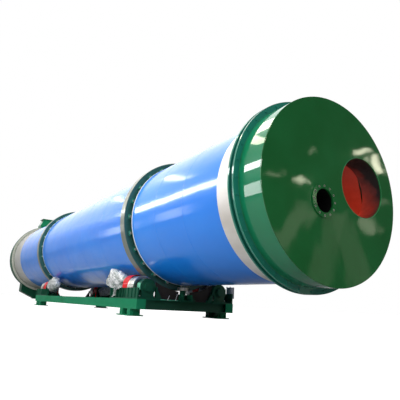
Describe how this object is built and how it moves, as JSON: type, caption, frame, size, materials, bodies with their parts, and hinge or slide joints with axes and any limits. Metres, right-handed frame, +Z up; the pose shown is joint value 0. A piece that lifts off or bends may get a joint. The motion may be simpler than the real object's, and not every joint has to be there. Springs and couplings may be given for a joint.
{
  "type": "rotary drum dryer",
  "caption": "Rotary drum dryer: a clad drum on two tyres and driven support rollers, on a welded skid, with an inlet hood and an outlet hood.",
  "frame": {"origin": "on the floor under the middle of the overall length and width", "axes": "+X along the drum's axis towards the inlet hood, +Z up, and +Y across the skid, to the left when looking along +X"},
  "size_m": [15.538, 2.7, 3.46],
  "materials": {
    "green_paint": "gloss",
    "dark_green_paint": "gloss",
    "blue_cladding": "gloss",
    "bare_band": "satin",
    "red_oxide": "matte",
    "red_paint": "gloss",
    "machined_steel": "machined",
    "plastic_film": "thin film"
  },
  "bodies": {
    "skid": {"skid_beam_left": "green_paint", "skid_beam_right": "green_paint", "skid_end_beams": "dark_green_paint", "skid_cross_beams": "dark_green_paint", "skid_feet": "green_paint", "stand_near_left": "dark_green_paint", "stand_near_right": "dark_green_paint", "stand_far_left": "dark_green_paint", "stand_far_right": "dark_green_paint", "bearings_near_left": "green_paint", "bearings_near_right": "green_paint", "bearings_far_left": "green_paint", "bearings_far_right": "green_paint", "guard_near_left": "red_paint", "guard_near_right": "red_paint", "guard_far_left": "red_paint", "guard_far_right": "red_paint", "drive_near_left": "plastic_film", "drive_near_right": "plastic_film", "drive_far_left": "plastic_film", "drive_far_right": "plastic_film", "thrust_stand": "dark_green_paint", "inlet_hood_flange": "green_paint", "inlet_hood_shell": "green_paint", "inlet_hood_front": "green_paint", "gas_inlet_sleeve": "red_oxide", "outlet_hood_shell": "dark_green_paint", "outlet_hood_back": "green_paint", "discharge_hopper": "dark_green_paint", "exhaust_duct": "green_paint"},
    "drum": {"drum_shell": "red_oxide", "cladding_far": "blue_cladding", "cladding_middle": "blue_cladding", "cladding_near": "blue_cladding", "bare_bands": "bare_band", "tyre_near": "machined_steel", "tyre_far": "machined_steel", "tyre_pads": "dark_green_paint", "lifting_flights": "red_oxide"},
    "roller_near_left": {"roller_near_left": "machined_steel"},
    "roller_near_right": {"roller_near_right": "machined_steel"},
    "roller_far_left": {"roller_far_left": "machined_steel"},
    "roller_far_right": {"roller_far_right": "machined_steel"},
    "thrust_roller_near": {"thrust_roller_near": "machined_steel"},
    "thrust_roller_far": {"thrust_roller_far": "machined_steel"}
  },
  "joints": [
    {"name": "drum_spin", "type": "hinge", "parent": "skid", "child": "drum", "pos_m": [0, 0, 1.8], "axis": [1, 0, 0], "continuous": true},
    {"name": "roller_near_left_spin", "type": "hinge", "parent": "skid", "child": "roller_near_left", "pos_m": [3.835, -0.80306, 0.515], "axis": [1, 0, 0], "continuous": true},
    {"name": "roller_near_right_spin", "type": "hinge", "parent": "skid", "child": "roller_near_right", "pos_m": [3.835, 0.80306, 0.515], "axis": [1, 0, 0], "continuous": true},
    {"name": "roller_far_left_spin", "type": "hinge", "parent": "skid", "child": "roller_far_left", "pos_m": [-2.825, -0.80306, 0.515], "axis": [1, 0, 0], "continuous": true},
    {"name": "roller_far_right_spin", "type": "hinge", "parent": "skid", "child": "roller_far_right", "pos_m": [-2.825, 0.80306, 0.515], "axis": [1, 0, 0], "continuous": true},
    {"name": "thrust_roller_near_spin", "type": "hinge", "parent": "skid", "child": "thrust_roller_near", "pos_m": [4.05, 0, 0.531], "axis": [0, 0, 1], "continuous": true},
    {"name": "thrust_roller_far_spin", "type": "hinge", "parent": "skid", "child": "thrust_roller_far", "pos_m": [3.62, 0, 0.531], "axis": [0, 0, 1], "continuous": true}
  ],
  "couplings": [
    {"joint": "roller_near_left_spin", "follows": "drum_spin", "ratio": -6.0465},
    {"joint": "roller_near_right_spin", "follows": "drum_spin", "ratio": -6.0465},
    {"joint": "roller_far_left_spin", "follows": "drum_spin", "ratio": -6.0465},
    {"joint": "roller_far_right_spin", "follows": "drum_spin", "ratio": -6.0465}
  ]
}
